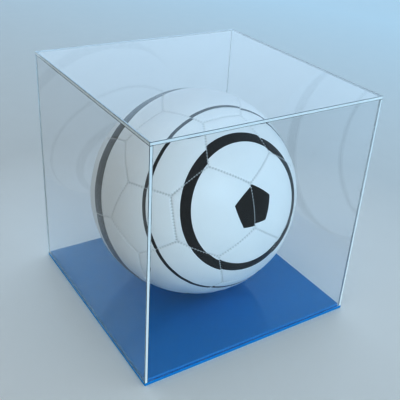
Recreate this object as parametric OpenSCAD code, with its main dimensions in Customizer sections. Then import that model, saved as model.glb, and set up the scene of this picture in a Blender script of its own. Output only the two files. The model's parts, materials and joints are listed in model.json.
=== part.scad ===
// Display case for one football.
// A flat coloured base carries a clear five-sided cover that lifts straight off.
// The ball stands on a small clear ring in the middle of the base.
// +Z is up, and the origin is the middle of the base's underside. Millimetres.

/* [Case] */
// Outside width and depth of the cover, and of the base sheet under it
case_w = 250; // [250:1:400]
// Outside height of the clear cover
cover_h = 250; // [246:1:400]
// Thickness of the clear sheet and of the coloured sheet
sheet_t = 3; // [2:0.5:5]
// Play between the locating sheet and the inside of the cover, on each side
cover_play = 0.5; // [0.2:0.1:2]

/* [Ball ring] */
// Outside diameter of the clear ring that the ball stands on
ring_od = 60; // [40:1:100]
// Wall of the clear ring
ring_wall = 3; // [2:0.5:5]
// Height of the ball's lowest point above the locating sheet
ball_lift = 3; // [2:0.5:10]
// Room between the ring's upper inner edge and the ball, measured upright
ring_room = 0.35; // [0.1:0.05:1]

/* [Ball] */
// Diameter of the ball
ball_d = 220; // [200:1:224]
// Thickness of the sewn panels with their backing
panel_t = 3; // [2:0.5:5]
// Width of the seam between two panels
seam_w = 0.4; // [0.2:0.1:1]
// Thickness of the bladder's wall
bladder_t = 1; // [0.6:0.1:2]
// Room between the panels' backing and the bladder
bladder_room = 0.2; // [0.1:0.1:0.5]
// How far the middle of the front seam is turned up from level, in degrees
ball_tilt = 19; // [-90:1:90]

/* [Valve] */
// Number of the six-sided panel that the valve comes out of
valve_panel = 4; // [1:1:20]
// Diameter of the rubber valve
valve_d = 7; // [5:0.5:10]
// Length of the rubber valve
valve_length = 16; // [10:1:24]
// Diameter of the needle hole in the valve
needle_d = 1.8; // [1.2:0.1:2.4]
// Diameter of the flange that holds the valve inside the bladder
flange_d = 15; // [12:1:24]

/* [Hidden] */
ball_r = ball_d / 2;
inner_w = case_w - 2 * sheet_t;
locating_w = inner_w - 2 * cover_play;
base_top = 2 * sheet_t;
wall_h = cover_h - sheet_t;
ball_z = base_top + ball_lift + ball_r;

ring_r = ring_od / 2;
ring_bore_r = ring_r - ring_wall;
// The ring ends just under the point where its inner edge would meet the ball
ring_h = ball_z - sqrt(ball_r * ball_r - ring_bore_r * ring_bore_r) - base_top - ring_room;

bladder_r = ball_r - panel_t - bladder_room;
valve_sink = 0.4;
valve_room = 0.2;
flange_t = 1.2;
needle_depth = valve_length - 4;
// Tools cut this much past a face, so that no skin is left
over = 1;

clear_tint = [0.80, 0.90, 0.97, 0.25];
base_blue = [0.10, 0.38, 0.75];
skin_white = [0.93, 0.94, 0.96];
rubber_grey = [0.20, 0.20, 0.22];

// A sewn ball of 32 panels is an icosahedron with its corners cut off: a five-sided panel is
// centred on each of the 12 corners, and a six-sided panel on each of the 20 faces.
golden = (1 + sqrt(5)) / 2;
corners = [
    for (a = [-1, 1], b = [-golden, golden])
        each [[0, a, b], [a, b, 0], [b, 0, a]]
];
last = len(corners) - 1;
faces = [
    for (i = [0 : last - 2], j = [i + 1 : last - 1], k = [j + 1 : last])
        if (joined(i, j) && joined(j, k) && joined(i, k)) [i, j, k]
];
hex_axes = [for (f = faces) corners[f[0]] + corners[f[1]] + corners[f[2]]];
// One panel corner for each panel, a third of the way along an edge of the icosahedron
hex_corners = [for (f = faces) 2 * corners[f[0]] + corners[f[1]]];
pent_corners = [for (i = [0 : last]) 2 * corners[i] + corners[neighbour(i)]];

HEX_NAMES = [for (n = [1 : len(faces)]) str("hex_panel_", two_digits(n))];
PENT_NAMES = [for (n = [1 : len(corners)]) str("pent_panel_", two_digits(n))];
WALL_NAMES = ["front_panel", "back_panel", "left_panel", "right_panel", "top_panel"];
$fn = 96;

function two_digits(n) = str(n < 10 ? "0" : "", n);
// Two corners of the icosahedron share an edge when they are 2 apart
function joined(i, j) = i != j && norm(corners[i] - corners[j]) < 2.1;
function neighbour(i) = [for (j = [0 : last]) if (joined(i, j)) j][0];
function unit(v) = v / norm(v);

// A box that is centred over the origin, with its underside at height z
module slab(x, y, z, h) {
    translate([-x / 2, -y / 2, z])
        cube([x, y, h]);
}

// Puts its children at the ball's centre, turned with the ball
module in_ball() {
    translate([0, 0, ball_z])
        rotate([90 - ball_tilt, 0, 0])
            children();
}

// Turns +Z to the axis, and +X to the side where the corner lies
module aim(axis, corner) {
    z = unit(axis);
    x = unit(corner - (corner * z) * z);
    y = cross(z, x);
    multmatrix([
        [x[0], y[0], z[0], 0],
        [x[1], y[1], z[1], 0],
        [x[2], y[2], z[2], 0],
        [0, 0, 0, 1]
    ])
        children();
}

// Hollow ball
module shell(r, t) {
    difference() {
        sphere(r = r);
        sphere(r = r - t);
    }
}

// One sewn panel: the part of the ball's skin inside a pyramid from the ball's centre.
// The pyramid is moved out a little, which leaves half a seam's width along every side.
module panel(sides, axis, corner) {
    slope = norm(cross(axis, corner)) / (axis * corner);
    side_angle = atan(slope * cos(180 / sides));
    reach = 2 * ball_r;
    intersection() {
        shell(ball_r, panel_t);
        aim(axis, corner)
            translate([0, 0, seam_w / 2 / sin(side_angle)])
                cylinder(r1 = 0, r2 = reach * slope, h = reach, $fn = sides);
    }
}

// Puts its children on the valve's axis, with +Z outwards and the ball's surface at height 0
module at_valve() {
    aim(hex_axes[valve_panel - 1], hex_corners[valve_panel - 1])
        translate([0, 0, ball_r])
            children();
}

module base_sheet() {
    color(base_blue)
        slab(case_w, case_w, 0, sheet_t);
}

module locating_sheet() {
    color(base_blue)
        slab(locating_w, locating_w, sheet_t, sheet_t);
}

module ball_ring() {
    color(clear_tint)
        translate([0, 0, base_top])
            difference() {
                cylinder(r = ring_r, h = ring_h);
                translate([0, 0, -over])
                    cylinder(r = ring_bore_r, h = ring_h + 2 * over);
            }
}

// Front and back stand between the two sides
module cross_wall(side) {
    color(clear_tint)
        translate([0, side * (case_w - sheet_t) / 2, 0])
            slab(inner_w, sheet_t, sheet_t, wall_h);
}

// Left and right run the case's full depth
module side_wall(side) {
    color(clear_tint)
        translate([side * (case_w - sheet_t) / 2, 0, 0])
            slab(sheet_t, case_w, sheet_t, wall_h);
}

// The top lies on all four walls
module top_panel() {
    color(clear_tint)
        slab(case_w, case_w, cover_h, sheet_t);
}

module hex_panel(i) {
    color(skin_white)
        in_ball()
            difference() {
                panel(6, hex_axes[i], hex_corners[i]);
                if (i == valve_panel - 1)
                    at_valve()
                        cylinder(d = valve_d + 2 * valve_room, h = 4 * panel_t, center = true);
            }
}

module pent_panel(i) {
    color(skin_white)
        in_ball()
            panel(5, corners[i], pent_corners[i]);
}

module bladder() {
    color(rubber_grey)
        in_ball()
            difference() {
                shell(bladder_r, bladder_t);
                at_valve()
                    translate([0, 0, bladder_r - ball_r])
                        cylinder(d = valve_d, h = 4 * bladder_t, center = true);
            }
}

// A rubber plug with a needle hole. Its flange sits under the bladder's wall.
module valve() {
    flange_top = sqrt(pow(bladder_r - bladder_t, 2) - pow(flange_d / 2, 2)) - ball_r;
    color(rubber_grey)
        in_ball()
            at_valve()
                difference() {
                    union() {
                        translate([0, 0, -valve_sink - valve_length])
                            cylinder(d = valve_d, h = valve_length);
                        translate([0, 0, flange_top - flange_t])
                            cylinder(d = flange_d, h = flange_t);
                    }
                    translate([0, 0, -valve_sink - needle_depth])
                        cylinder(d = needle_d, h = needle_depth + over);
                }
}

base_sheet();
locating_sheet();
ball_ring();
cross_wall(-1);  // front_panel
cross_wall(1);  // back_panel
side_wall(-1);  // left_panel
side_wall(1);  // right_panel
top_panel();
for (i = [0 : len(faces) - 1])
    hex_panel(i);
for (i = [0 : last])
    pent_panel(i);
bladder();
valve();
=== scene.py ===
"""Looks of the football display case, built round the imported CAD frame. Metres, +Z up."""

import json
import math
import random

import bmesh
import bpy
from mathutils import Matrix, Vector


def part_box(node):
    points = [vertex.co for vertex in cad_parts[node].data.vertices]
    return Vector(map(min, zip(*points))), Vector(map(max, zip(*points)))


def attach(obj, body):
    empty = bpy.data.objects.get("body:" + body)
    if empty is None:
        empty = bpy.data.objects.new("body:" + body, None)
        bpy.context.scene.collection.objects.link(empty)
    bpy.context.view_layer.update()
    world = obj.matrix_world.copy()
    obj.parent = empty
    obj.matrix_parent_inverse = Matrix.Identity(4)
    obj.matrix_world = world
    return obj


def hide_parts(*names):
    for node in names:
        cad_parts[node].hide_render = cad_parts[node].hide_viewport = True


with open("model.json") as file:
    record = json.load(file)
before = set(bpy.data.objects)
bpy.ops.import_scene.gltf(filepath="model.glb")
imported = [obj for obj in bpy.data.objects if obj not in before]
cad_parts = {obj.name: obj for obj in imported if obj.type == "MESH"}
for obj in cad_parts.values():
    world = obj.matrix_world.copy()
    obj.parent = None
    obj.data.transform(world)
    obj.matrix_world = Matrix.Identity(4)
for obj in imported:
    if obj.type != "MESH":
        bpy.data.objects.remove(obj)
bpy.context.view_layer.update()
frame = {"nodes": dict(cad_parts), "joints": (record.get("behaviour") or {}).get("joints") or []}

MM = 0.001

# ---------------------------------------------------------------- camera
# It looks at a point near the middle of the case, from the front and the left
VIEW_AZIMUTH = math.radians(-33.96)
VIEW_ELEVATION = math.radians(29.34)
VIEW_ROLL = math.radians(3.72)
VIEW_DISTANCE = 0.7179
VIEW_TARGET = Vector((0.0058, -0.0039, 0.1086))
FIELD_OF_VIEW = math.radians(34.01)

# ---------------------------------------------------------------- clear and blue sheet
# Every cut piece is this much short of its CAD size on each face, so that no two faces coincide
FACE_RELIEF = 0.02 * MM
EDGE_BEVEL = 0.25 * MM
RING_WALL = 3 * MM
RING_STEPS = 96
ACRYLIC_IOR = 1.49
CLEAR_FACE = (0.98, 0.99, 1.0, 1)
# Painted glow on the clear edges: pale colours that stand in for light which ran along the sheet and
# comes out, palest at the base
CLEAR_EDGE_GLOW_LOW = (0.92, 0.97, 0.99, 1)
CLEAR_EDGE_GLOW_HIGH = (0.78, 0.89, 0.97, 1)
EDGE_GLOW_FADE_HEIGHT = 0.2               # metres over the ground, where the edges' painted glow reaches the high colour
SAW_MARK_WHITE = (1, 1, 1, 1)
# What the sheet lets through of the lamps' light
FACE_SHADOW_TINT = (0.95, 0.97, 0.98)
EDGE_SHADOW_TINT = (0.85, 0.92, 0.96)
# Each pair is the darker and the lighter colour of one material
BLUE_SHEET = ((0.002, 0.235, 0.55, 1), (0.003, 0.265, 0.61, 1))
# The blue edge's colours are a painted glow: brighter than the sheet, for the light that runs out of the
# edge
BLUE_EDGE_GLOW = ((0.013, 0.25, 0.555, 1), (0.021, 0.305, 0.64, 1))

# ---------------------------------------------------------------- ball
BALL_TILT = math.radians(19)         # of the middle of the front seam over level
STITCHES = 15                        # along one seam between two panel corners
SAMPLES_A_STITCH = 4                 # points of the mesh from one stitch to the next
SEAM_HALF_GAP = 0.05 * MM
SEAM_DEPTH = 0.95 * MM
SEAM_SHOULDER = 3.0 * MM             # how far from the seam the rolled edge begins
PUCKER = 0.50                        # share of the seam's depth that comes and goes with the stitches
PUFF = 0.7 * MM                      # how much lower a panel's corners lie than its middle
PANEL_THICKNESS = 2.9 * MM
# Distances of the mesh's rows from the seam: close together on the rolled edge, wide inside
FINE_ROWS = [SEAM_HALF_GAP] + [d * MM for d in (0.35, 0.8, 1.4, 2.2, 3.2)]
COARSE_ROWS = [d * MM for d in (4.5, 8, 13, 19, 25)]
MIDDLE_ROOM = 3 * MM                 # kept free of rows round a panel's middle
SKIN_WHITE = ((0.80, 0.82, 0.84, 1), (0.86, 0.87, 0.88, 1))
# Painted shade in the needle holes, and the distances from the seam where it is full and where it ends
HOLE_SHADE_GREY = (0.20, 0.20, 0.20, 1)
HOLE_SHADE_FULL = 0.4 * MM
HOLE_SHADE_END = 1.4 * MM
CREASE_END = 9 * MM                  # how far from the seam the creases run

# Printed bands, as angles from the middle of the front seam: (middle, half width)
WIDE_RING = (math.radians(35.3), math.radians(2.65))
THIN_RING = (math.radians(55.1), math.radians(0.9))
BELT = (math.radians(91.0), math.radians(4.5))
BADGE_RADIUS = math.radians(11)
BADGE_ROUNDNESS = 0.8                # 1 is a pentagon with straight sides, and 0 a circle
PRINT_SHIFT = math.radians(1.2)      # how far a panel's print may be off its neighbour's
PRINT_START = 0.05 * MM              # distances from the seam where the print starts and where it is full
PRINT_FULL = 0.3 * MM
PRINT_INK = (0.008, 0.009, 0.011, 1)
BELT_INK = (0.020, 0.018, 0.016, 1)

# ---------------------------------------------------------------- stitches and valve
THREAD_RADIUS = 0.36 * MM
THREAD_SIDES = 6
THREAD_WHITE = ((0.66, 0.67, 0.68, 1), (0.80, 0.81, 0.82, 1))
STITCH_LENGTH = 2.0 * MM
STITCH_BOW = 0.35 * MM               # how much higher its ends lie than its middle
THREAD_DEPTH = 1.15 * MM             # of the middle of a stitch under the ball's full radius
# Stations along a stitch: (share of its half length, share of its thickness)
STITCH_STATIONS = ((-1, 0.25), (-0.8, 0.8), (-0.4, 1), (0, 1), (0.4, 1), (0.8, 0.8), (1, 0.25))
VALVE_RADIUS = 3.5 * MM
VALVE_HOLE_RADIUS = 3.7 * MM
VALVE_LENGTH = 14 * MM               # from the ball's full radius to the valve's inner end
VALVE_STEPS = 48
NEEDLE_RADIUS = 0.9 * MM
NEEDLE_DEPTH = 9 * MM
# The skin's dip round the valve, in millimetres: (distance from the hole's rim, depth)
VALVE_DIP = ((4.0, 0.0), (2.2, 0.05), (1.0, 0.2), (0.3, 0.5), (0.0, 0.9))
VALVE_RUBBER = (0.02, 0.02, 0.022)
BLADDER_RUBBER = (0.03, 0.03, 0.03)

# ---------------------------------------------------------------- stage
FLOOR_REACH = 12.0
# A painted pool of light: paler floor round the case, which lightens the case's shadow
FLOOR_LIGHT_POOL = (0.85, 0.86, 0.86, 1)
# Painted light on the floor: a warm grey shade on the left and in front, and the blue of the window light
# behind on the right
FLOOR_SHADED_SIDE = (0.64, 0.58, 0.53, 1)
FLOOR_BLUE_LIT_SIDE = (0.70, 0.88, 1.0, 1)
LIGHT_POOL_FULL = 0.16                   # metres from the middle, where the painted pool of light starts to fade
LIGHT_POOL_END = 0.42
LAMP_TARGET = Vector((0, 0, 0.12))
BRIGHT_SIDE = Vector((0.5, 0.7, 0.5)).normalized()      # where the sky is brightest
SKY_DIM = (0.325, 0.302, 0.262, 1)
SKY_BRIGHT = (0.47, 0.58, 0.68, 1)
SKY_DIM_UNTIL = -0.4                 # cosines of the angle from the bright side
SKY_BRIGHT_FROM = 0.95


# ================================================================ node trees
class Nodes:
    """Short ways to build a material's node tree."""

    def __init__(self, name):
        self.material = bpy.data.materials.new(name)
        self.material.use_nodes = True
        self.tree = self.material.node_tree
        self.shader = self.tree.nodes["Principled BSDF"]
        self.output = self.tree.nodes["Material Output"]

    def add(self, kind, **settings):
        """A new node with these settings."""
        node = self.tree.nodes.new("ShaderNode" + kind)
        for key, value in settings.items():
            setattr(node, key, value)
        return node

    def join(self, source, target):
        """Links an output socket to an input socket."""
        self.tree.links.new(source, target)

    def feed(self, socket, value):
        """Links a value from another node to the socket, or sets the socket to a plain value."""
        if isinstance(value, bpy.types.NodeSocket):
            self.join(value, socket)
        else:
            socket.default_value = value

    def math(self, operation, *values):
        """The result of a math node. Each value is a socket or a number."""
        node = self.add("Math", operation=operation)
        for socket, value in zip(node.inputs, values):
            self.feed(socket, value)
        return node.outputs[0]

    def mix(self, share, first, second):
        """Colour between first and second."""
        node = self.add("Mix", data_type="RGBA")
        self.feed(node.inputs["Factor"], share)
        self.feed(node.inputs["A"], first)
        self.feed(node.inputs["B"], second)
        return node.outputs["Result"]

    def span(self, value, low, high, to_low, to_high):
        """value carried from low..high to to_low..to_high, and held at the ends."""
        node = self.add("MapRange")
        for socket, number in zip(node.inputs, (value, low, high, to_low, to_high)):
            self.feed(socket, number)
        return node.outputs[0]

    def place(self):
        """The point on the object at rest."""
        return self.add("TexCoord").outputs["Object"]

    def noise(self, scale, detail=2.0, stretch=(1, 1, 1)):
        """Cloudy noise over the object, from 0 to 1."""
        mapping = self.add("Mapping")
        self.join(self.place(), mapping.inputs["Vector"])
        mapping.inputs["Scale"].default_value = stretch
        node = self.add("TexNoise")
        node.inputs["Scale"].default_value = scale
        node.inputs["Detail"].default_value = detail
        self.join(mapping.outputs[0], node.inputs["Vector"])
        return node.outputs["Fac"]

    def bump(self, height, distance, strength):
        """Fine relief on the shader's surface. distance is its full height in metres."""
        node = self.add("Bump")
        node.inputs["Strength"].default_value = strength
        node.inputs["Distance"].default_value = distance
        self.join(height, node.inputs["Height"])
        self.join(node.outputs[0], self.shader.inputs["Normal"])

    def set(self, **values):
        """Plain values on the shader's own sockets."""
        for name, value in values.items():
            self.shader.inputs[name.replace("_", " ")].default_value = value

    def let_light_in(self, tint):
        """Light from lamps and from the sky goes straight through, so the case casts no dark shadow."""
        clear = self.add("BsdfTransparent")
        clear.inputs["Color"].default_value = (*tint, 1)
        mixer = self.add("MixShader")
        self.join(self.add("LightPath").outputs["Is Shadow Ray"], mixer.inputs[0])
        self.join(self.shader.outputs[0], mixer.inputs[1])
        self.join(clear.outputs[0], mixer.inputs[2])
        self.join(mixer.outputs[0], self.output.inputs["Surface"])


# ================================================================ materials
def clear_face_material():
    """The polished faces of clear acrylic, with the faintest hairline scuffs."""
    n = Nodes("clear_acrylic_face")
    n.set(Base_Color=CLEAR_FACE, Transmission_Weight=1.0, IOR=ACRYLIC_IOR, Roughness=0.0)
    scuffs = n.noise(900, 3, stretch=(1, 0.05, 0.05))
    n.bump(scuffs, 0.002 * MM, 0.2)
    n.let_light_in(FACE_SHADOW_TINT)
    return n.material


def clear_edge_material():
    """Sawn and polished edges of clear acrylic, with a painted glow: their pale colour stands in for
    light that ran along the sheet and comes out.
    The painted glow is paler near the base, which throws light up the walls."""
    n = Nodes("clear_acrylic_edge")
    parts = n.add("SeparateXYZ")
    n.join(n.place(), parts.inputs[0])
    # Painted glow, palest at the ground and fading to the higher colour a little way up
    height = n.span(parts.outputs["Z"], 0.0, EDGE_GLOW_FADE_HEIGHT, 0, 1)
    pale = n.mix(height, CLEAR_EDGE_GLOW_LOW, CLEAR_EDGE_GLOW_HIGH)
    saw_marks = n.noise(1500, 2)
    marked = n.mix(n.span(saw_marks, 0.3, 0.7, 0, 0.15), pale, SAW_MARK_WHITE)
    n.join(marked, n.shader.inputs["Base Color"])
    n.set(IOR=ACRYLIC_IOR, Roughness=0.2, Transmission_Weight=0.2)
    n.bump(saw_marks, 0.02 * MM, 0.4)
    n.let_light_in(EDGE_SHADOW_TINT)
    return n.material


def blue_sheet_material():
    """Glossy royal blue acrylic with a faint haze."""
    n = Nodes("blue_acrylic")
    cloud = n.noise(14, 3)
    n.join(n.mix(cloud, *BLUE_SHEET), n.shader.inputs["Base Color"])
    haze = n.noise(60, 5)
    n.join(n.span(haze, 0.3, 0.75, 0.05, 0.12), n.shader.inputs["Roughness"])
    n.set(IOR=ACRYLIC_IOR)
    n.bump(n.noise(2500, 2), 0.003 * MM, 0.25)
    return n.material


def blue_edge_material():
    """The sawn edge of the blue sheet, with a painted glow: it is slightly brighter than the sheet, for
    the light that runs out of it.
    """
    n = Nodes("blue_acrylic_edge")
    saw_marks = n.noise(1500, 2)
    n.join(n.mix(saw_marks, *BLUE_EDGE_GLOW), n.shader.inputs["Base Color"])
    n.set(IOR=ACRYLIC_IOR, Roughness=0.25)
    n.bump(saw_marks, 0.02 * MM, 0.4)
    return n.material


def printed_bands(n):
    """(ink, belt ink): where the rings with the badge, and where the belt, are printed, as 0 or 1."""
    towards = n.add("Attribute", attribute_name="print_direction").outputs["Vector"]
    unit = n.add("VectorMath", operation="NORMALIZE")
    n.join(towards, unit.inputs[0])
    parts = n.add("SeparateXYZ")
    n.join(unit.outputs[0], parts.inputs[0])
    along = n.math("ARCCOSINE", parts.outputs["Z"])
    # The two sides of the ball are printed alike, so the angle is folded at the belt
    folded = n.math("MINIMUM", along, n.math("SUBTRACT", math.pi, along))
    wide = n.math("COMPARE", folded, *WIDE_RING)
    thin = n.math("COMPARE", folded, *THIN_RING)
    belt = n.math("COMPARE", along, *BELT)
    badge = badge_shape(n, along, n.math("ARCTAN2", parts.outputs["X"], parts.outputs["Y"]))
    return n.math("MAXIMUM", n.math("MAXIMUM", wide, thin), badge), belt


def badge_shape(n, along, turn):
    """A plain rounded pentagon in the middle of the front, from a point's angle off the middle and
    its turn round it."""
    fifth = 2 * math.pi / 5
    wedge = n.math("SUBTRACT", n.math("FLOORED_MODULO", turn, fifth), fifth / 2)
    waist = n.math("POWER", n.math("COSINE", wedge), BADGE_ROUNDNESS)
    outline = n.math("DIVIDE", BADGE_RADIUS * math.cos(fifth / 2) ** BADGE_ROUNDNESS, waist)
    return n.math("LESS_THAN", along, outline)


def ball_skin_material():
    """White coated leather with plain printed bands."""
    n = Nodes("ball_skin")
    rings, belt = printed_bands(n)
    # Print stops short of the seam
    seam = n.add("Attribute", attribute_name="seam_distance").outputs["Fac"]
    printable = n.span(seam, PRINT_START, PRINT_FULL, 0, 1)
    ink = n.math("MULTIPLY", rings, printable)
    belt_ink = n.math("MULTIPLY", belt, printable)

    white = n.mix(n.noise(35, 4), *SKIN_WHITE)
    # Painted shade in the needle holes beside the stitches
    stitched = n.add("Attribute", attribute_name="stitched").outputs["Fac"]
    near_seam = n.span(seam, HOLE_SHADE_FULL, HOLE_SHADE_END, 0.9, 0.0)
    hole_shade = n.math("MULTIPLY", near_seam, n.math("POWER", stitched, 3.0))
    white = n.mix(hole_shade, white, HOLE_SHADE_GREY)
    colour = n.mix(ink, white, PRINT_INK)
    colour = n.mix(belt_ink, colour, BELT_INK)
    n.join(colour, n.shader.inputs["Base Color"])

    # Fine pebble grain, with soft creases beside the seams where the stitches pull
    pebbles = n.noise(1500, 3)
    n.join(n.span(pebbles, 0.3, 0.7, 0.28, 0.40), n.shader.inputs["Roughness"])
    creases = n.math("MULTIPLY", n.noise(260, 2), n.span(seam, 0.5 * MM, CREASE_END, 4.0, 0.0))
    grain = n.math("ADD", pebbles, creases)
    n.set(IOR=1.45, Coat_Weight=0.15, Coat_Roughness=0.15)
    n.bump(grain, 0.05 * MM, 0.5)
    return n.material


def thread_material():
    """Waxed white polyester thread."""
    n = Nodes("seam_thread")
    twist = n.noise(3000, 2)
    n.join(n.mix(twist, *THREAD_WHITE), n.shader.inputs["Base Color"])
    n.set(Roughness=0.6)
    n.bump(twist, 0.05 * MM, 0.5)
    return n.material


def rubber_material(name, colour):
    """Dull rubber with a fine bloom."""
    n = Nodes(name)
    bloom = n.noise(700, 4)
    lighter = tuple(c * 1.6 + 0.004 for c in colour)
    n.join(n.mix(bloom, (*colour, 1), (*lighter, 1)), n.shader.inputs["Base Color"])
    n.join(n.span(bloom, 0.3, 0.7, 0.5, 0.7), n.shader.inputs["Roughness"])
    n.bump(bloom, 0.02 * MM, 0.4)
    return n.material


# ================================================================ making pieces
def piece(name, bm, body, replaced, materials):
    """Turns a bmesh into a named piece that rides on a body and stands for CAD nodes."""
    mesh = bpy.data.meshes.new(name)
    bm.normal_update()
    bm.to_mesh(mesh)
    bm.free()
    for material in materials:
        mesh.materials.append(material)
    obj = bpy.data.objects.new(name, mesh)
    bpy.context.scene.collection.objects.link(obj)
    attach(obj, body)
    if replaced:
        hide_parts(*replaced)
    return obj


def sheet_piece(node, body, slot, materials):
    """A sawn sheet with softened corners. Its broad faces take the first material, and its edges
    the last."""
    low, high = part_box(node)
    relief = Vector((FACE_RELIEF,) * 3)
    low, high = low + relief, high - relief
    size = high - low
    across = min(range(3), key=lambda axis: size[axis])
    bm = bmesh.new()
    bmesh.ops.create_cube(bm, size=1)
    bmesh.ops.scale(bm, vec=size, verts=bm.verts)
    bmesh.ops.translate(bm, vec=(low + high) / 2, verts=bm.verts)
    bmesh.ops.bevel(bm, geom=bm.edges[:], offset=EDGE_BEVEL, segments=2, profile=0.5, affect="EDGES")
    bm.normal_update()
    straight = 0.999
    for face in bm.faces:
        broad = abs(face.normal[across]) > straight
        softened = max(abs(c) for c in face.normal) < straight
        # The underside rests on the base, which shows through it
        underside = face.normal.z < -straight
        face.material_index = 0 if broad or softened or underside else len(materials) - 1
        face.smooth = False
    kind = slot.split("_")[0]
    return piece(kind + "_" + node, bm, body, [node], materials)


def ring_piece(node, body, materials):
    """The clear ring that the ball stands on, turned from its section."""
    low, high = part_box(node)
    outer = (high.x - low.x) / 2 - FACE_RELIEF
    inner = outer - RING_WALL + 2 * FACE_RELIEF
    bottom, top = low.z + FACE_RELIEF, high.z - FACE_RELIEF
    b = EDGE_BEVEL
    section = [
        (inner + b, bottom), (outer - b, bottom), (outer, bottom + b), (outer, top - b),
        (outer - b, top), (inner + b, top), (inner, top - b), (inner, bottom + b),
    ]
    bm = bmesh.new()
    lathe(bm, section, RING_STEPS, closed=True)
    for face in bm.faces:
        face.smooth = True
    sharpen(bm, math.radians(30))
    return piece("clear_" + node, bm, body, [node], materials)


def lathe(bm, section, steps, closed=False, place=Matrix.Identity(4)):
    """Turns a section of (radius, height) points about Z. place moves the result."""
    rings = []
    for radius, height in section:
        if radius == 0:
            rings.append([bm.verts.new(place @ Vector((0, 0, height)))])
            continue
        angles = (2 * math.pi * i / steps for i in range(steps))
        rings.append([
            bm.verts.new(place @ Vector((radius * math.cos(a), radius * math.sin(a), height)))
            for a in angles
        ])
    pairs = list(zip(rings, rings[1:] + rings[:1])) if closed else list(zip(rings, rings[1:]))
    for first, second in pairs:
        for i in range(steps):
            j = (i + 1) % steps
            corners = [first[i % len(first)], first[j % len(first)]]
            corners += [second[j % len(second)], second[i % len(second)]]
            # A ring of a single point gives triangles
            bm.faces.new([v for k, v in enumerate(corners) if v not in corners[:k]])
    bmesh.ops.recalc_face_normals(bm, faces=bm.faces[:])


def sharpen(bm, angle):
    """Marks the edges that fold more than an angle, so that smooth shading stops there."""
    for edge in bm.edges:
        if len(edge.link_faces) == 2 and edge.calc_face_angle(0) > angle:
            edge.smooth = False


# ================================================================ ball geometry
GOLDEN = (1 + math.sqrt(5)) / 2
ball_joint = next(j for j in frame["joints"] if j["name"] == "ball_turn")
BALL_CENTRE = Vector(ball_joint["pos_m"])
BALL_RADIUS = max((v.co - BALL_CENTRE).length for v in frame["nodes"]["hex_panel_01"].data.vertices)
TURNED = Matrix.Rotation(math.pi / 2 - BALL_TILT, 3, "X")


def panel_names(start):
    """The CAD panels whose names start like this."""
    return sorted(name for name in frame["nodes"] if name.startswith(start))


def icosahedron():
    """Its 12 corners, turned with the ball."""
    corners = []
    for a in (-1, 1):
        for b in (-GOLDEN, GOLDEN):
            corners += [Vector((0, a, b)), Vector((a, b, 0)), Vector((b, 0, a))]
    return [TURNED @ c for c in corners]


def joined(a, b):
    """Corners of the icosahedron that share an edge are 2 apart."""
    return 1.9 < (a - b).length < 2.1


def panel_corner(a, b):
    """Direction of the point a third of the way from one corner of the icosahedron to another."""
    return (2 * a + b).normalized()


def ball_layout():
    """(six-sided panels, five-sided panels, seams). A panel is (sides, axis, corner), and a seam is
    (from, to)."""
    corners = icosahedron()
    sixes, fives, seams = [], [], []
    count = len(corners)
    for i in range(count):
        near = next(c for c in corners if joined(c, corners[i]))
        fives.append((5, corners[i].normalized(), panel_corner(corners[i], near)))
        for j in range(i + 1, count):
            if not joined(corners[i], corners[j]):
                continue
            seams.append((panel_corner(corners[i], corners[j]), panel_corner(corners[j], corners[i])))
            for k in range(j + 1, count):
                if joined(corners[i], corners[k]) and joined(corners[j], corners[k]):
                    axis = (corners[i] + corners[j] + corners[k]).normalized()
                    sixes.append((6, axis, panel_corner(corners[i], corners[j])))
    # The seams round each five-sided panel
    for centre in corners:
        ring = [c for c in corners if joined(c, centre)]
        for a in range(len(ring)):
            for b in range(a + 1, len(ring)):
                if joined(ring[a], ring[b]):
                    seams.append((panel_corner(centre, ring[a]), panel_corner(centre, ring[b])))
    return sixes, fives, seams


def node_facing(axis, names):
    """The CAD panel whose middle lies nearest to an axis from the ball's centre."""
    def closeness(name):
        low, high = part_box(name)
        return ((low + high) / 2 - BALL_CENTRE).normalized().dot(axis)
    return max(names, key=closeness)


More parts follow.
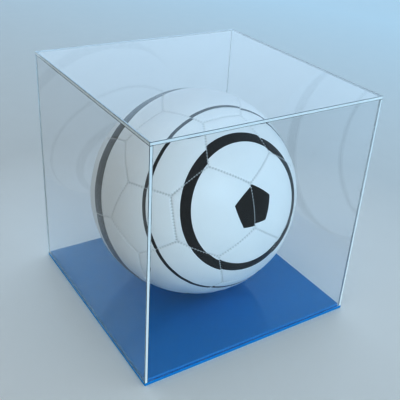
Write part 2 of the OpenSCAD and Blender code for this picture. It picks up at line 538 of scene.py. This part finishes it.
class Panel:
    """One sewn panel as a puffed, rolled-edge shell over a regular polygon on the ball."""

    def __init__(self, sides, axis, corner):
        self.sides = sides
        z = axis
        x = (corner - corner.dot(z) * z).normalized()
        y = z.cross(x)
        self.basis = Matrix((x, y, z)).transposed()
        self.corner_slope = math.tan(corner.angle(z))
        self.side_slope = self.corner_slope * math.cos(math.pi / sides)
        self.side_angle = math.atan(self.side_slope)
        # The planes through the ball's centre and each side, facing inwards
        self.normals = []
        rise = Vector((0, 0, 1)) * math.sin(self.side_angle)
        for k in range(sides):
            middle = 2 * math.pi * (k + 0.5) / sides
            out = Vector((math.cos(middle), math.sin(middle), 0))
            self.normals.append(rise - out * math.cos(self.side_angle))

    def direction(self, along, inward):
        """Direction of a point: along runs round the outline, 1 for each side, and inward is its
        distance from the nearest seam over the ball's surface."""
        side = int(along) % self.sides
        share = along - int(along)
        slope = math.tan(max(0.0, self.side_angle - inward / BALL_RADIUS))
        reach = slope / math.cos(math.pi / self.sides)
        a = 2 * math.pi * side / self.sides
        b = 2 * math.pi * (side + 1) / self.sides
        start = Vector((math.cos(a), math.sin(a), 0)) * reach
        end = Vector((math.cos(b), math.sin(b), 0)) * reach
        flat = start.lerp(end, share)
        # Towards the middle the rows turn from polygons into circles
        roundness = min(1.0, inward / (BALL_RADIUS * self.side_angle) * 1.2)
        ring = flat.normalized() * reach * (1 + math.cos(math.pi / self.sides)) / 2 if reach else flat
        flat = flat.lerp(ring, roundness)
        return (flat + Vector((0, 0, 1))).normalized()

    def recess(self, local, stitch_phase):
        """(depth, distance): how far the skin lies below the ball's full radius at a point, and how
        far the point is from the nearest seam."""
        total = 0.0
        nearest = 1.0
        for normal in self.normals:
            gap = BALL_RADIUS * math.asin(max(-1.0, min(1.0, local.dot(normal))))
            nearest = min(nearest, gap)
            if gap < SEAM_SHOULDER:
                dip = 1 - gap / SEAM_SHOULDER
                total += (1 - math.sqrt(max(0.0, 1 - dip * dip))) ** 2
        rolled = math.sqrt(total) * SEAM_DEPTH
        pull = 1 + PUCKER * (math.cos(stitch_phase) - 1) / 2
        crown = math.acos(max(-1.0, min(1.0, local.z))) / math.atan(self.corner_slope)
        return min(rolled, SEAM_DEPTH) * pull + PUFF * crown * crown, nearest

    def build(self, bm, layers, print_turn, hole=0.0):
        """Adds the panel's closed mesh. hole is the radius of a round hole in its middle."""
        around_fine = self.sides * STITCHES * SAMPLES_A_STITCH
        around_coarse = self.sides * STITCHES
        print_layer, seam_layer, stitch_layer = layers

        def point(local, radius, seam, stitched=0.0):
            world = self.basis @ local
            v = bm.verts.new(BALL_CENTRE + world * radius)
            v[print_layer] = print_turn @ (TURNED.transposed() @ world)
            v[seam_layer] = seam
            v[stitch_layer] = stitched
            return v

        def row(inward, around, under=None):
            """Points side by side at one distance from the seam. under is a fixed depth instead."""
            made = []
            for i in range(around):
                along = i * self.sides / around
                local = self.direction(along, inward)
                phase = 2 * math.pi * (along * STITCHES - 0.5)
                depth, seam = self.recess(local, phase)
                radius = BALL_RADIUS - depth if under is None else BALL_RADIUS - under
                made.append(point(local, radius, max(seam, 0.0), (1 + math.cos(phase)) / 2))
            return made

        outer = [row(d, around_fine) for d in FINE_ROWS]
        limit = BALL_RADIUS * self.side_angle - MIDDLE_ROOM
        inner = [row(d, around_coarse) for d in COARSE_ROWS if d < limit]
        rim = row(FINE_ROWS[0], around_fine, under=PANEL_THICKNESS)
        below = [row(d, around_coarse, under=PANEL_THICKNESS) for d in (COARSE_ROWS[0], COARSE_ROWS[2])]

        strip(bm, rim, outer[0])
        for a, b in zip(outer, outer[1:]):
            strip(bm, a, b)
        thin_out(bm, outer[-1], inner[0])
        for a, b in zip(inner, inner[1:]):
            strip(bm, a, b)
        thin_out(bm, rim, below[0], flip=True)
        strip(bm, below[1], below[0])
        if hole:
            rows = [inner[-1]]
            for wider, dip in VALVE_DIP:
                rows.append(self.round_row(point, around_coarse, hole + wider * MM, dip * MM))
            rows.append(self.round_row(point, around_coarse, hole, PANEL_THICKNESS))
            rows.append(below[1])
            for a, b in zip(rows, rows[1:]):
                strip(bm, a, b)
            sharp_row(bm, rows[-3])
            sharp_row(bm, rows[-2])
        else:
            up = Vector((0, 0, 1))
            cap(bm, inner[-1], point(up, BALL_RADIUS, 1.0))
            cap(bm, below[1], point(up, BALL_RADIUS - PANEL_THICKNESS, 1.0), flip=True)
        sharp_row(bm, outer[0])

    def round_row(self, point, around, radius, depth):
        """A circle of points round the panel's middle."""
        slope = radius / BALL_RADIUS
        turns = (2 * math.pi * i / around for i in range(around))
        directions = [Vector((math.cos(t) * slope, math.sin(t) * slope, 1)).normalized() for t in turns]
        return [point(local, BALL_RADIUS - depth, 1.0) for local in directions]


def strip(bm, a, b):
    """Quads between two rows of equal length."""
    for i in range(len(a)):
        j = (i + 1) % len(a)
        bm.faces.new((a[i], a[j], b[j], b[i])).smooth = True


def sharp_row(bm, row):
    """Smooth shading stops along this closed row."""
    for a, b in zip(row, row[1:] + row[:1]):
        bm.edges.get((a, b)).smooth = False


def thin_out(bm, fine, coarse, flip=False):
    """Triangles between a row with SAMPLES_A_STITCH points for each stitch and a row with one."""
    half = SAMPLES_A_STITCH // 2
    for i in range(len(coarse)):
        j = (i + 1) % len(coarse)
        f = [fine[(i * SAMPLES_A_STITCH + k) % len(fine)] for k in range(SAMPLES_A_STITCH + 1)]
        faces = [(f[k], f[k + 1], coarse[i] if k < half else coarse[j]) for k in range(SAMPLES_A_STITCH)]
        faces.append((f[half], coarse[j], coarse[i]))
        for corners in faces:
            bm.faces.new(corners[::-1] if flip else corners).smooth = True


def cap(bm, row, middle, flip=False):
    """Closes a row with a fan."""
    for i in range(len(row)):
        j = (i + 1) % len(row)
        corners = (row[i], row[j], middle)
        bm.faces.new(corners[::-1] if flip else corners).smooth = True


def panel_piece(node, layout, materials, chance, hole=0.0):
    """A sewn panel in place of its CAD node, with its print turned a little by chance."""
    bm = bmesh.new()
    vectors, numbers = bm.verts.layers.float_vector, bm.verts.layers.float
    vectors.new("print_direction")
    numbers.new("seam_distance")
    numbers.new("stitched")
    layers = (vectors["print_direction"], numbers["seam_distance"], numbers["stitched"])
    spin_axis = Vector((chance.uniform(-1, 1), chance.uniform(-1, 1), chance.uniform(-1, 1)))
    print_turn = Matrix.Rotation(chance.uniform(0.3, 1.0) * PRINT_SHIFT, 3, spin_axis)
    Panel(*layout).build(bm, layers, print_turn, hole)
    return piece("sewn_" + node, bm, "ball", [node], materials)


# ================================================================ stitches and valve
def stitch(bm, middle, across, up):
    """One short stitch over a seam, bowed down into it."""
    side = across.cross(up).normalized()
    rings = []
    for share, thickness in STITCH_STATIONS:
        centre = middle + across * (share * STITCH_LENGTH / 2) + up * (STITCH_BOW * share * share)
        ring = []
        for k in range(THREAD_SIDES):
            turn = 2 * math.pi * k / THREAD_SIDES
            offset = (side * math.cos(turn) + up * math.sin(turn)) * THREAD_RADIUS * thickness
            ring.append(bm.verts.new(centre + offset))
        rings.append(ring)
    for a, b in zip(rings, rings[1:]):
        strip(bm, a, b)
    bm.faces.new(rings[0][::-1])
    bm.faces.new(rings[-1])


def stitching_piece(seams, material):
    """All the visible stitches, along every seam."""
    bm = bmesh.new()
    level = BALL_RADIUS - THREAD_DEPTH
    for start, end in seams:
        for i in range(STITCHES):
            share = (i + 0.5) / STITCHES
            up = start.lerp(end, share).normalized()
            along = (end - start).normalized()
            across = up.cross(along).normalized()
            stitch(bm, BALL_CENTRE + up * level, across, up)
    bmesh.ops.recalc_face_normals(bm, faces=bm.faces[:])
    return piece("seam_stitches", bm, "ball", [], [material])


def valve_piece(axis, corner, material):
    """A rubber valve with a raised lip round its needle hole and another round its rim."""
    z = axis
    x = (corner - corner.dot(z) * z).normalized()
    turned = Matrix((x, z.cross(x), z)).transposed().to_4x4()
    place = Matrix.Translation(BALL_CENTRE) @ turned
    r = BALL_RADIUS
    section = [
        (0, r - NEEDLE_DEPTH),
        (NEEDLE_RADIUS, r - NEEDLE_DEPTH),
        (NEEDLE_RADIUS, r - 1.2 * MM),
        (1.3 * MM, r - 0.8 * MM),
        (1.9 * MM, r - 0.7 * MM),
        (2.4 * MM, r - 1.0 * MM),
        (2.9 * MM, r - 0.95 * MM),
        (3.3 * MM, r - 0.6 * MM),
        (VALVE_RADIUS, r - 0.9 * MM),
        (VALVE_RADIUS, r - VALVE_LENGTH),
        (0, r - VALVE_LENGTH),
    ]
    bm = bmesh.new()
    lathe(bm, section, VALVE_STEPS, place=place)
    for face in bm.faces:
        face.smooth = True
    sharpen(bm, math.radians(50))
    return piece("rubber_valve", bm, "ball", ["valve"], [material])


# ================================================================ stage
def floor_material():
    """Pale paper with painted light: a warm grey shade on the left, the pale blue of the window light on
    the right, and a painted pool of light in plain white round the case, which lightens the case's
    shadow.
    """
    n = Nodes("floor")
    parts = n.add("SeparateXYZ")
    n.join(n.place(), parts.inputs[0])
    # Painted light: warm grey shade to the left and front, blue window light to the right
    rightwards = n.math("MULTIPLY", parts.outputs["X"], 0.8)
    backwards = n.math("MULTIPLY", parts.outputs["Y"], 0.3)
    share = n.span(n.math("ADD", rightwards, backwards), -0.3, 1.2, 0, 1)
    plain = n.mix(share, FLOOR_SHADED_SIDE, FLOOR_BLUE_LIT_SIDE)
    # Painted pool of light round the case, fading with the distance from the middle
    length = n.add("VectorMath", operation="LENGTH")
    n.join(n.place(), length.inputs[0])
    around = n.span(length.outputs["Value"], LIGHT_POOL_FULL, LIGHT_POOL_END, 1, 0)
    n.join(n.mix(around, plain, FLOOR_LIGHT_POOL), n.shader.inputs["Base Color"])
    n.join(n.span(n.noise(30, 3), 0.3, 0.7, 0.5, 0.6), n.shader.inputs["Roughness"])
    return n.material


def floor():
    """A wide plain floor."""
    bm = bmesh.new()
    bmesh.ops.create_grid(bm, x_segments=4, y_segments=4, size=FLOOR_REACH)
    mesh = bpy.data.meshes.new("floor")
    bm.to_mesh(mesh)
    bm.free()
    mesh.materials.append(floor_material())
    obj = bpy.data.objects.new("floor", mesh)
    bpy.context.scene.collection.objects.link(obj)
    return obj


def soft_light(name, azimuth, elevation, distance, size, power, colour):
    """A square soft light that faces the case. Azimuth 0 is the front, and -90 the left."""
    lamp = bpy.data.lights.new(name, "AREA")
    lamp.shape = "SQUARE"
    lamp.size = size
    lamp.energy = power
    lamp.color = colour
    obj = bpy.data.objects.new(name, lamp)
    a, e = math.radians(azimuth), math.radians(elevation)
    away = Vector((math.sin(a) * math.cos(e), -math.cos(a) * math.cos(e), math.sin(e)))
    obj.location = LAMP_TARGET + away * distance
    obj.rotation_euler = (-away).to_track_quat("-Z", "Y").to_euler()
    # The lamps themselves are not seen through the clear sheets
    obj.visible_transmission = False
    bpy.context.scene.collection.objects.link(obj)
    return obj


def sky():
    """A dim room on the left and in front, and a bright blue window side behind on the right."""
    world = bpy.data.worlds.new("studio")
    world.use_nodes = True
    tree = world.node_tree
    add = tree.nodes.new
    join = tree.links.new
    facing = add("ShaderNodeVectorMath")
    facing.operation = "DOT_PRODUCT"
    join(add("ShaderNodeTexCoord").outputs["Generated"], facing.inputs[0])
    facing.inputs[1].default_value = BRIGHT_SIDE
    share = add("ShaderNodeMapRange")
    share.interpolation_type = "SMOOTHSTEP"
    join(facing.outputs["Value"], share.inputs["Value"])
    share.inputs["From Min"].default_value = SKY_DIM_UNTIL
    share.inputs["From Max"].default_value = SKY_BRIGHT_FROM
    blend = add("ShaderNodeMix")
    blend.data_type = "RGBA"
    join(share.outputs[0], blend.inputs["Factor"])
    blend.inputs["A"].default_value = SKY_DIM
    blend.inputs["B"].default_value = SKY_BRIGHT
    join(blend.outputs["Result"], tree.nodes["Background"].inputs["Color"])
    bpy.context.scene.world = world


def spare(lamp, obj):
    """The lamp lights everything but this object."""
    spared = bpy.data.collections.new("unlit_by_" + lamp.name)
    spared.objects.link(obj)
    spared.collection_objects[0].light_linking.link_state = "EXCLUDE"
    lamp.light_linking.receiver_collection = spared


def lights(ground):
    """A window lamp in front, a low lamp for the ball's underside and a warm one on the left. The
    last two would glare on the floor and in the sheets, and are kept from both."""
    sky()
    soft_light(
        "window", azimuth=-8, elevation=28, distance=1.5, size=0.5, power=2.2, colour=(0.60, 0.83, 1.0))
    fill = soft_light(
        "low_fill", azimuth=12, elevation=4, distance=2.2, size=0.40, power=12, colour=(0.64, 0.86, 1.0))
    room = soft_light(
        "room", azimuth=-95, elevation=14, distance=2.2, size=0.6, power=3.0, colour=(1.0, 0.88, 0.66))
    for lamp in (fill, room):
        lamp.visible_glossy = False
        spare(lamp, ground)


def camera():
    """The camera, from the photo's point of view."""
    lens = bpy.data.cameras.new("camera")
    lens.sensor_width = 36
    lens.lens = lens.sensor_width / 2 / math.tan(FIELD_OF_VIEW / 2)
    lens.clip_start = 0.01
    lens.clip_end = 20
    obj = bpy.data.objects.new("camera", lens)
    back = Vector((
        math.sin(VIEW_AZIMUTH) * math.cos(VIEW_ELEVATION),
        -math.cos(VIEW_AZIMUTH) * math.cos(VIEW_ELEVATION),
        math.sin(VIEW_ELEVATION),
    ))
    right = Vector((math.cos(VIEW_AZIMUTH), math.sin(VIEW_AZIMUTH), 0))
    level = Matrix((right, back.cross(right), back)).transposed()
    rotation = level @ Matrix.Rotation(VIEW_ROLL, 3, "Z")
    obj.matrix_world = Matrix.Translation(VIEW_TARGET + back * VIEW_DISTANCE) @ rotation.to_4x4()
    bpy.context.scene.collection.objects.link(obj)
    bpy.context.scene.camera = obj


# ================================================================ the whole object
def case_pieces():
    """The cover, the base and the ring."""
    face, edge = clear_face_material(), clear_edge_material()
    blue, blue_edge = blue_sheet_material(), blue_edge_material()
    for node in ("front_panel", "back_panel", "left_panel", "right_panel", "top_panel"):
        sheet_piece(node, "cover", "clear_acrylic", [face, edge])
    for node in ("base_sheet", "locating_sheet"):
        sheet_piece(node, "base", "blue_acrylic", [blue, blue_edge])
    ring_piece("ball_ring", "base", [face])


def ball_pieces():
    """The ball's panels, stitches, valve and bladder."""
    skin = ball_skin_material()
    sixes, fives, seams = ball_layout()
    chance = random.Random(7)
    valve_low, valve_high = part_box("valve")
    valve_way = ((valve_low + valve_high) / 2 - BALL_CENTRE).normalized()
    valve_panel = max(sixes, key=lambda layout: layout[1].dot(valve_way))
    hex_names, pent_names = panel_names("hex_panel"), panel_names("pent_panel")
    for layout in sixes:
        hole = VALVE_HOLE_RADIUS if layout is valve_panel else 0.0
        panel_piece(node_facing(layout[1], hex_names), layout, [skin], chance, hole)
    for layout in fives:
        panel_piece(node_facing(layout[1], pent_names), layout, [skin], chance)
    stitching_piece(seams, thread_material())
    valve_piece(valve_panel[1], valve_panel[2], rubber_material("valve_rubber", VALVE_RUBBER))
    bladder = frame["nodes"]["bladder"]
    bladder.data.materials.clear()
    bladder.data.materials.append(rubber_material("bladder_rubber", BLADDER_RUBBER))


bpy.context.scene.view_settings.view_transform = "Standard"
bpy.context.scene.view_settings.look = "Very High Contrast"
camera()
lights(floor())
case_pieces()
ball_pieces()
